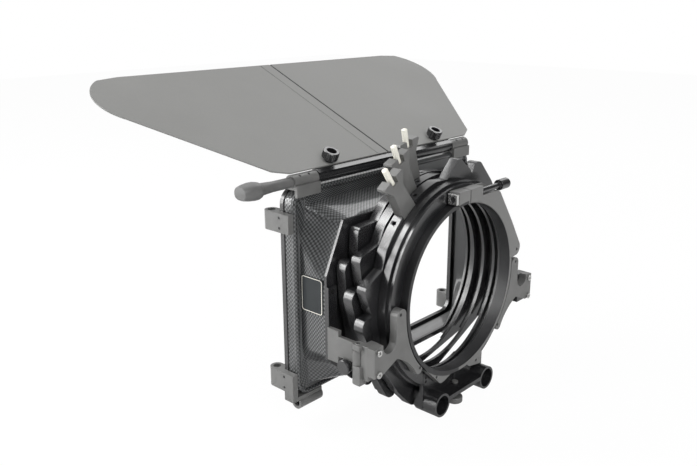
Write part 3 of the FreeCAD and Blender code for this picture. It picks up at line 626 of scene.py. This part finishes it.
@dataclass
class Hood:
    """Carbon hood: a sculpted body that opens into a deep rim."""

    finishes: Finishes
    body: str = "swing_frame"
    rear_y: float = 48.0 * MM
    rim_y: float = 72.0 * MM
    front_y: float = 82.0 * MM
    wall: float = 2.0 * MM
    rim_half: float = 106.0 * MM
    rim_low: float = -76.0 * MM
    rim_high: float = 82.5 * MM
    rim_corner: float = 12.0 * MM
    rim_step: float = 0.8 * MM
    scoop: float = 3.4 * MM
    rounding: int = 3
    bead: float = 2.0 * MM
    per_side: int = 14
    depths: int = 13

    def outline(self, t: Array) -> Array:
        """Cross-sections of the body at depths t, as rows of closed outlines.

        Each section joins eight corners. A corner's place is rear + (front - rear) * t^1.25, and
        the slanting stretches sag inwards by scoop * sin(pi * s) * sin(pi * (0.2 + 0.6 t)).

        Args:
            t: Depths from 0 at the mounting plate to 1 at the rim.

        Returns:
            Array of shape (len(t), 8 * per_side, 3).
        """
        rear = np.array([(83, 62), (100.5, 19), (100.5, -38), (75, -63)]) * MM
        front = np.array([(95, 71.5), (100.5, 45), (100.5, -38), (94, -70)]) * MM
        corners_r = np.concatenate([rear, rear[::-1] * (-1, 1)])
        corners_f = np.concatenate([front, front[::-1] * (-1, 1)])
        ease = (t**1.25)[:, None, None]
        corners = corners_r[None] * (1 - ease) + corners_f[None] * ease
        s = np.linspace(0, 1, self.per_side, endpoint=False)
        ahead = np.roll(corners, -1, axis=1)
        line = corners[:, :, None, :] * (1 - s)[:, None] + ahead[:, :, None, :] * s[:, None]
        side = ahead - corners
        inward = np.stack([-side[..., 1], side[..., 0]], axis=-1)
        inward /= np.linalg.norm(inward, axis=-1, keepdims=True)
        inward *= np.sign((-corners * inward).sum(-1, keepdims=True))
        amount = np.zeros(8)
        amount[[0, 6]] = self.scoop
        amount[[2, 4]] = self.scoop * 0.9
        depth = np.sin(np.pi * s)[None, None, :] * amount[None, :, None]
        depth = depth * np.sin(np.pi * (0.2 + 0.6 * t))[:, None, None]
        line = line + inward[:, :, None, :] * depth[..., None]
        line = self.rounded(line.reshape(len(t), -1, 2))
        y = np.broadcast_to((self.rear_y + (self.rim_y - self.rear_y) * t)[:, None], line.shape[:2])
        return np.stack([line[..., 0], y, line[..., 1]], axis=-1)

    def rounded(self, rows: Array) -> Array:
        """Ease the corners of closed outlines.

        Each pass moves a point a third of the way to the middle of its neighbours.

        Args:
            rows: Outlines of shape (rows, points, 2).

        Returns:
            The eased outlines.
        """
        for _ in range(self.rounding):
            beside = (np.roll(rows, 1, axis=1) + np.roll(rows, -1, axis=1)) / 2
            rows = rows * 2 / 3 + beside / 3
        return rows

    def rim_outline(self, inset: float, count: int) -> Array:
        """Rounded rectangle with count points, starting near the top right corner.

        A straight stretch is split evenly and a corner is a quarter circle.

        Args:
            inset: Distance inside the rim's outer face.
            count: Number of points, a multiple of eight.

        Returns:
            Array of shape (count, 2) of (x, z).
        """
        r = max(self.rim_corner - inset, 1.0 * MM)
        w = self.rim_half - inset
        high = self.rim_high - inset
        low = self.rim_low + inset
        part = count // 8
        corner_angle = np.linspace(np.pi / 2, 0, part)
        places = ((w - r, high - r, 0.0), (w - r, low + r, -np.pi / 2),
                  (-w + r, low + r, -np.pi), (-w + r, high - r, -3 * np.pi / 2))
        arcs = [
            np.stack([x + r * np.cos(corner_angle + turn), z + r * np.sin(corner_angle + turn)], -1)
            for x, z, turn in places
        ]
        s = np.linspace(0, 1, part + 2)[1:-1, None]
        points = []
        for arc, following in zip(arcs, arcs[1:] + arcs[:1]):
            points.append(arc)
            points.append(arc[-1] * (1 - s) + following[0] * s)
        return np.concatenate(points)

    def inwards(self, points: Array, distance: float) -> Array:
        """Move a closed outline in by a wall, square to itself.

        Args:
            points: Outline of shape (points, 2), walked clockwise as seen from the rear.
            distance: Wall thickness.

        Returns:
            The moved outline.
        """
        along = np.roll(points, -1, axis=0) - np.roll(points, 1, axis=0)
        along /= np.linalg.norm(along, axis=1, keepdims=True)
        square = np.stack([along[:, 1], -along[:, 0]], axis=-1)
        square *= np.sign((-points * square).sum(axis=1))[:, None]
        return points + square * distance

    def shell(self) -> bpy.types.Object:
        """The body, the rolled edge behind the rim and the rim, with the wall's inner side.

        The rolled edge is a round bead: at angle a its inset is r - r * cos(a) and its depth is
        y + r * sin(a).

        Returns:
            The hood's object.
        """
        count = 8 * self.per_side
        half = self.per_side // 2
        body = np.roll(self.outline(np.linspace(0, 1, self.depths)), half, axis=1)
        joint = body[-1][:, [0, 2]]
        outer = self.rim_outline(0.0, count)
        shift = half - np.argmin(np.linalg.norm(outer - joint[half], axis=1))
        inner_inset = self.rim_step + self.wall

        def rim(inset: float) -> Array:
            """Rim outline that starts where the body's does."""
            return np.roll(self.rim_outline(inset, count), shift, axis=0)

        def row(points: Array, y: float) -> Array:
            """One row of the grid at a depth."""
            return np.stack([points[:, 0], np.full(len(points), y), points[:, 1]], axis=-1)[None]

        rows = [body]
        bead_y = self.rim_y + 1.3 * MM
        rows.append(row(joint * 0.4 + rim(2 * self.bead) * 0.6, self.rim_y + 0.5 * MM))
        for turn in np.radians(np.arange(-160, 51, 30)):
            inset = self.bead * (1 - math.cos(turn))
            rows.append(row(rim(inset), bead_y + self.bead * math.sin(turn)))
        for y in (bead_y + 2.4 * MM, (bead_y + self.front_y) / 2, self.front_y):
            rows.append(row(rim(self.rim_step), y))
        outside = self.depths + len(rows) - 1
        for y in (self.front_y, bead_y + 3.0 * MM):
            rows.append(row(rim(inner_inset), y))
        rows.append(row(self.inwards(joint, self.wall), self.rim_y + 1.5 * MM))
        for section in body[::-1]:
            rows.append(row(self.inwards(section[:, [0, 2]], self.wall), section[0, 1]))
        rows.append(body[:1])
        obj = grid_mesh("hood_carbon", np.concatenate(rows), Ends.JOINED)
        self.lay_weave(obj, outside, count)
        weld(obj)
        face_outwards(obj)
        smooth(obj, math.radians(40.0))
        return obj

    def lay_weave(self, obj: bpy.types.Object, outside: int, count: int) -> None:
        """Lay the cloth flat on each side, and leave the wall's inner side plain.

        A face that looks sideways takes its height as u, any other takes x. The plain side sits
        at u = tow / 2 and v = 3 tow / 2, where the tows along v lie on top.

        Args:
            obj: The shell.
            outside: Rows of the grid on the outer side.
            count: Points in each row.
        """
        tow = CarbonWeave.tow
        mesh = obj.data
        layer = mesh.uv_layers["length"].data
        for face in mesh.polygons:
            plain = face.index // count >= outside - 1
            sideways = abs(face.normal.x) > abs(face.normal.z)
            for corner in face.loop_indices:
                place = mesh.vertices[mesh.loops[corner].vertex_index].co
                u = place.z if sideways else place.x
                v = layer[corner].uv[1]
                layer[corner].uv = (tow / 2, 1.5 * tow) if plain else (u, v)

    def build(self) -> set[str]:
        """Make the shell.

        Returns:
            The nodes replaced.
        """
        shell = self.shell()
        self.finishes.dress(shell, "carbon_weave")
        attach(shell, self.body)
        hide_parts("hood_shell")
        LOG.info("hood shell")
        return {"hood_shell"}


@dataclass(frozen=True)
class FlagPlane:
    """The top flag's sheet at rest, tilted about the flag rod."""

    tilt: float = math.radians(23.8)
    axis_y: float = 76.0 * MM
    axis_z: float = 87.8 * MM
    face: float = 6.5 * MM

    def normal(self) -> Array:
        """Unit vector square to the sheet, upwards."""
        return np.array([0.0, -math.sin(self.tilt), math.cos(self.tilt)])

    def place(self, x: float, along: float, height: float = 0.0) -> Array:
        """Point over the sheet's upper face.

        Args:
            x: Distance to the right of the middle.
            along: Distance from the rod along the sheet.
            height: Distance over the face.

        Returns:
            The point.
        """
        origin = np.array([x, self.axis_y, self.axis_z])
        ahead = np.array([0.0, math.cos(self.tilt), math.sin(self.tilt)])
        return origin + ahead * along + self.normal() * (self.face + height)


@dataclass
class FlagKnobs:
    """Hollow knurled thumb screws on the flag, square to its sheet."""

    finishes: Finishes
    flag: FlagPlane = FlagPlane()
    along: float = 6.7 * MM
    place_x: float = 62.7 * MM
    flute: float = 0.12 * MM
    flutes: int = 30
    sides: int = 120

    def build(self) -> set[str]:
        """Turn both screws.

        Returns:
            The nodes replaced.
        """
        heights = np.array([-4.4, 0.1, 0.1, 2.0, 2.2, 2.7, 7.9, 8.4, 8.4, 4.2, 4.0]) * MM
        radii = np.array([1.98, 1.98, 3.4, 3.4, 5.6, 6.05, 6.05, 5.6, 3.9, 3.6, 0.6]) * MM
        made = set()
        for side, x in (("left", -self.place_x), ("right", self.place_x)):
            node = "flag_knob_" + side
            knob = revolve(
                node + "_turned", self.flag.place(x, self.along), self.flag.normal(), radii,
                heights, self.flute, self.flutes, self.sides,
            )
            smooth(knob, math.radians(35.0))
            self.finishes.dress(knob, "black_anodised")
            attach(knob, node)
            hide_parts(node)
            LOG.info("flag knob %s", side)
            made.add(node)
        return made


@dataclass
class FlagSeams:
    """Dark joints between the flag's halves and the strip of its centre fold."""

    finishes: Finishes
    flag: FlagPlane = FlagPlane()
    near: float = 3.0 * MM
    far: float = 149.5 * MM
    proud: float = 0.08 * MM
    sunk: float = 0.1 * MM

    def build(self) -> None:
        """Lay each joint as a shallow four-sided strip."""
        for name, x, half in (("fold", 0.0, 0.7 * MM), ("strip", -11.6 * MM, 0.25 * MM)):
            left, right = x - half, x + half
            corners = ((left, -self.sunk), (right, -self.sunk), (right, self.proud), (left, self.proud))
            rows = [
                [self.flag.place(side, reach, height) for side, height in corners]
                for reach in np.linspace(self.near, self.far, 12)
            ]
            seam = grid_mesh("flag_seam_" + name, np.array(rows), Ends.CAPPED)
            self.finishes.dress(seam, "black_steel")
            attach(seam, "flag")
            LOG.info("flag seam %s", name)


@dataclass
class LockScrews:
    """White nylon lock screws in the stage handles, with a fine thread."""

    finishes: Finishes
    stages: tuple[tuple[str, float, float], ...] = (
        ("c", 35.3, 20.0 * MM), ("b", 23.8, 30.0 * MM), ("a", 11.8, 40.0 * MM),
    )
    low: float = 98.3 * MM
    high: float = 121.9 * MM
    radius: float = 2.27 * MM
    pitch: float = 0.9 * MM
    thread_depth: float = 0.14 * MM
    chamfer: float = 0.7 * MM

    def build(self) -> set[str]:
        """Make one threaded screw per stage.

        A point at height h and angle a has the radius
        r - thread_depth * |2 * frac(h / pitch - a / 2 pi) - 1|, drawn in over the chamfers.

        Returns:
            The nodes replaced.
        """
        angle = np.linspace(0, 2 * np.pi, 24, endpoint=False)
        h = np.linspace(self.low, self.high, 130)
        phase = (h[:, None] / self.pitch - angle[None, :] / (2 * np.pi)) % 1.0
        reach = self.radius - self.thread_depth * np.abs(phase * 2 - 1)
        ends = np.minimum(h - self.low, self.high - h) / self.chamfer
        reach = reach * np.sqrt(np.clip(ends, 0.25, 1.0))[:, None]
        made = set()
        for name, lean, middle in self.stages:
            turn = math.radians(lean)
            axis = np.array([-math.sin(turn), 0.0, math.cos(turn)])
            across = np.array([math.cos(turn), 0.0, math.sin(turn)])
            other = np.cross(axis, across)
            ring = np.cos(angle)[:, None] * across + np.sin(angle)[:, None] * other
            centre = np.array([0.0, middle, 0.0])
            points = centre + h[:, None, None] * axis + reach[..., None] * ring[None]
            node = "handle_pin_" + name
            pin = grid_mesh(node + "_threaded", points, Ends.CAPPED)
            smooth(pin, math.radians(50.0))
            self.finishes.dress(pin, "nylon")
            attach(pin, "stage_screw_" + name)
            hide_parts(node)
            LOG.info("lock screw %s", name)
            made.add(node)
        return made


@dataclass
class FlagLever:
    """Moulded lever: a round stem that swells into a knob with two flat wings."""

    finishes: Finishes
    flag: FlagPlane = FlagPlane()
    inner_x: float = -104.3 * MM
    outer_x: float = -149.0 * MM

    def build(self) -> set[str]:
        """Carry a superellipse section along the axis.

        At each station the section is (a cos^p, b sin^p) of the angle, with a, b and p blended
        from the round stem to the winged knob.

        Returns:
            The nodes replaced.
        """
        stations = np.array([0.0, 0.36826, 0.62, 0.66, 0.72, 0.8, 0.9, 0.97, 0.995, 1.0])
        widths = np.array([3.7, 3.7, 4.6, 6.4, 7.3, 7.4, 7.0, 6.4, 5.8, 4.4]) * MM
        heights = np.array([3.7, 3.7, 4.4, 5.4, 5.9, 5.9, 5.4, 4.8, 4.3, 3.2]) * MM
        power = np.array([1.0, 1.0, 0.95, 0.85, 0.75, 0.7, 0.72, 0.78, 0.8, 0.85])
        angle = np.linspace(0, 2 * np.pi, 40, endpoint=False)
        c, s = np.cos(angle), np.sin(angle)
        x = self.inner_x + (self.outer_x - self.inner_x) * stations
        y = self.flag.axis_y + widths[:, None] * np.sign(c) * np.abs(c) ** power[:, None]
        z = self.flag.axis_z + heights[:, None] * np.sign(s) * np.abs(s) ** power[:, None]
        points = np.stack([np.broadcast_to(x[:, None], y.shape), y, z], axis=-1)
        lever = grid_mesh("flag_lever_moulded", points, Ends.CAPPED)
        smooth(lever, math.radians(42.0))
        self.finishes.dress(lever, "lever_plastic")
        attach(lever, "flag_lever")
        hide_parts("flag_lever")
        LOG.info("flag lever")
        return {"flag_lever"}


@dataclass
class Label:
    """White outline on the hood's blank name plate."""

    finishes: Finishes
    face_x: float = -101.1 * MM
    back_y: float = 49.5 * MM
    front_y: float = 71.0 * MM
    low: float = -6.0 * MM
    high: float = 21.5 * MM
    inset: float = 0.7 * MM
    line: float = 0.45 * MM
    corner: float = 2.2 * MM
    raised: float = 0.06 * MM
    sunk: float = 0.05 * MM

    def loop(self, inset: float, x: float) -> Array:
        """Rounded rectangle in the plate's plane.

        Args:
            inset: Distance inside the plate's edge.
            x: Distance of the plane from the middle.

        Returns:
            Array of points (48, 3).
        """
        r = self.corner - inset * 0.5
        turn = np.linspace(0, np.pi / 2, 12)
        y0, y1 = self.back_y + inset + r, self.front_y - inset - r
        z0, z1 = self.low + inset + r, self.high - inset - r
        centres = ((y1, z1, 0), (y0, z1, 1), (y0, z0, 2), (y1, z0, 3))
        flat = np.concatenate([
            np.stack([y + r * np.cos(turn + q * np.pi / 2), z + r * np.sin(turn + q * np.pi / 2)], -1)
            for y, z, q in centres
        ])
        return np.stack([np.full(len(flat), x), flat[:, 0], flat[:, 1]], axis=-1)

    def build(self) -> None:
        """Lay the raised outline on the plate."""
        outer, inner = self.inset, self.inset + self.line
        top, foot = self.face_x - self.raised, self.face_x + self.sunk
        path = ((outer, foot), (outer, top), (inner, top), (inner, foot), (outer, foot))
        rows = np.stack([self.loop(inset, x) for inset, x in path])
        outline = grid_mesh("label_outline", rows, Ends.JOINED)
        self.finishes.dress(outline, "nylon")
        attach(outline, "swing_frame")
        LOG.info("label outline")


@dataclass
class Studio:
    """White sweep, soft lamps and the camera."""

    eye: tuple[float, float, float] = (-0.45026, -0.29933, 0.20658)
    yaw: float = 47.163
    pitch: float = 16.972
    roll: float = -0.275
    lens: float = 39.07
    floor_z: float = -0.1
    floor_half: float = 3.0
    floor_glow: float = 0.97
    bright_side: tuple[float, float, float] = (-0.1, 0.95, 0.3)
    dark_level: float = 0.12
    fill_level: float = 0.42

    def camera(self) -> None:
        """Place the camera behind and to the left of the object, looking slightly down."""
        data = bpy.data.cameras.new("camera")
        data.lens = self.lens
        data.sensor_width = 36.0
        data.clip_start = 0.01
        data.clip_end = 50.0
        cam = bpy.data.objects.new("camera", data)
        bpy.context.scene.collection.objects.link(cam)
        yaw, pitch = math.radians(self.yaw), math.radians(self.pitch)
        flat = math.cos(pitch)
        gaze = Vector((math.sin(yaw) * flat, math.cos(yaw) * flat, -math.sin(pitch)))
        turn = gaze.to_track_quat("-Z", "Y")
        cam.rotation_mode = "QUATERNION"
        cam.rotation_quaternion = turn @ Euler((0, 0, math.radians(self.roll))).to_quaternion()
        cam.location = self.eye
        bpy.context.scene.camera = cam

    def lamp(self, name: str, place: tuple[float, float, float], target: tuple[float, float, float],
             size: float, power: float) -> None:
        """One soft square lamp.

        Args:
            name: Lamp name.
            place: Position in metres.
            target: Point it faces.
            size: Side in metres.
            power: Watts.
        """
        data = bpy.data.lights.new(name, "AREA")
        data.shape = "SQUARE"
        data.size = size
        data.energy = power
        lamp = bpy.data.objects.new(name, data)
        lamp.location = place
        aim = Vector(target) - Vector(place)
        lamp.rotation_mode = "QUATERNION"
        lamp.rotation_quaternion = aim.to_track_quat("-Z", "Y")
        bpy.context.scene.collection.objects.link(lamp)

    def sky(self) -> None:
        """White world to the camera, a bright side to glossy surfaces, and soft fill elsewhere."""
        world = bpy.data.worlds.new("studio")
        bpy.context.scene.world = world
        world.use_nodes = True
        tree = world.node_tree
        background = tree.nodes["Background"]
        background.inputs["Color"].default_value = (1, 1, 1, 1)
        path = tree.nodes.new("ShaderNodeLightPath")
        both = self.seen_plainly(tree, path)
        level = tree.nodes.new("ShaderNodeMapRange")
        level.inputs["To Min"].default_value = self.fill_level
        level.inputs["To Max"].default_value = 1.0
        tree.links.new(both, level.inputs["Value"])
        facing = tree.nodes.new("ShaderNodeVectorMath")
        facing.operation = "DOT_PRODUCT"
        facing.inputs[1].default_value = self.bright_side
        where = tree.nodes.new("ShaderNodeTexCoord")
        tree.links.new(where.outputs["Generated"], facing.inputs[0])
        seen = tree.nodes.new("ShaderNodeMapRange")
        seen.inputs["From Min"].default_value = -0.3
        seen.inputs["From Max"].default_value = 0.6
        seen.inputs["To Min"].default_value = self.dark_level
        seen.inputs["To Max"].default_value = 1.0
        tree.links.new(facing.outputs["Value"], seen.inputs["Value"])
        pick = tree.nodes.new("ShaderNodeMix")
        tree.links.new(path.outputs["Is Glossy Ray"], pick.inputs["Factor"])
        tree.links.new(level.outputs["Result"], pick.inputs["A"])
        tree.links.new(seen.outputs["Result"], pick.inputs["B"])
        tree.links.new(pick.outputs["Result"], background.inputs["Strength"])

    def seen_plainly(self, tree: Tree, path: bpy.types.Node) -> Socket:
        """1 where the camera looks straight or through clear stuff, and 0 elsewhere."""
        rays = (path.outputs["Is Camera Ray"], path.outputs["Is Transmission Ray"])
        return maths(tree, "MAXIMUM", *rays)

    def floor(self) -> None:
        """Pale floor that is plain white to the camera and keeps a faint shadow."""
        mesh = bpy.data.meshes.new("floor")
        signs = ((-1, -1), (1, -1), (1, 1), (-1, 1))
        corners = [(x * self.floor_half, y * self.floor_half, self.floor_z) for x, y in signs]
        mesh.from_pydata(corners, [], [(0, 1, 2, 3)])
        floor = bpy.data.objects.new("floor", mesh)
        bpy.context.scene.collection.objects.link(floor)
        material = bpy.data.materials.new("floor paper")
        material.use_nodes = True
        tree = material.node_tree
        shade = tree.nodes["Principled BSDF"]
        shade.inputs["Base Color"].default_value = (0.82, 0.82, 0.82, 1)
        shade.inputs["Roughness"].default_value = 0.9
        glow = tree.nodes.new("ShaderNodeEmission")
        glow.inputs["Strength"].default_value = 1.0
        path = tree.nodes.new("ShaderNodeLightPath")
        share = maths(tree, "MULTIPLY", self.seen_plainly(tree, path), self.floor_glow)
        mix = tree.nodes.new("ShaderNodeMixShader")
        tree.links.new(share, mix.inputs["Fac"])
        tree.links.new(shade.outputs["BSDF"], mix.inputs[1])
        tree.links.new(glow.outputs["Emission"], mix.inputs[2])
        tree.links.new(mix.outputs["Shader"], tree.nodes["Material Output"].inputs["Surface"])
        floor.data.materials.append(material)

    def build(self) -> None:
        """Put up the whole studio."""
        self.camera()
        self.sky()
        self.floor()
        self.lamp("key", (-0.5, -1.2, 1.1), (0, 0.05, 0), 0.9, 16.0)
        self.lamp("low side", (-1.15, 1.05, 0.2), (0, 0.05, 0), 0.5, 6.0)
        self.lamp("side", (-0.98, 1.05, 0.75), (0, 0.05, 0), 0.55, 11.0)
        self.lamp("high side", (-0.5, 1.05, 1.15), (0, 0.05, 0), 0.55, 12.0)
        self.lamp("high right", (1.12, 0.45, 1.1), (0, 0.05, 0.06), 0.8, 5.0)
        bpy.context.scene.view_settings.view_transform = "Standard"


def main() -> None:
    """Load the frame, build every piece and the studio."""
    logging.basicConfig(level=logging.INFO, format="%(name)s: %(message)s")
    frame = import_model()
    finishes = Finishes()
    remade: set[str] = set()
    remade |= Hood(finishes).build()
    remade |= FlagKnobs(finishes).build()
    remade |= LockScrews(finishes).build()
    remade |= FlagLever(finishes).build()
    MachinedParts(finishes, frame["record"]).build(remade)
    Label(finishes).build()
    FlagSeams(finishes).build()
    Studio().build()
    bpy.context.view_layer.update()


if __name__ == "__main__":
    main()
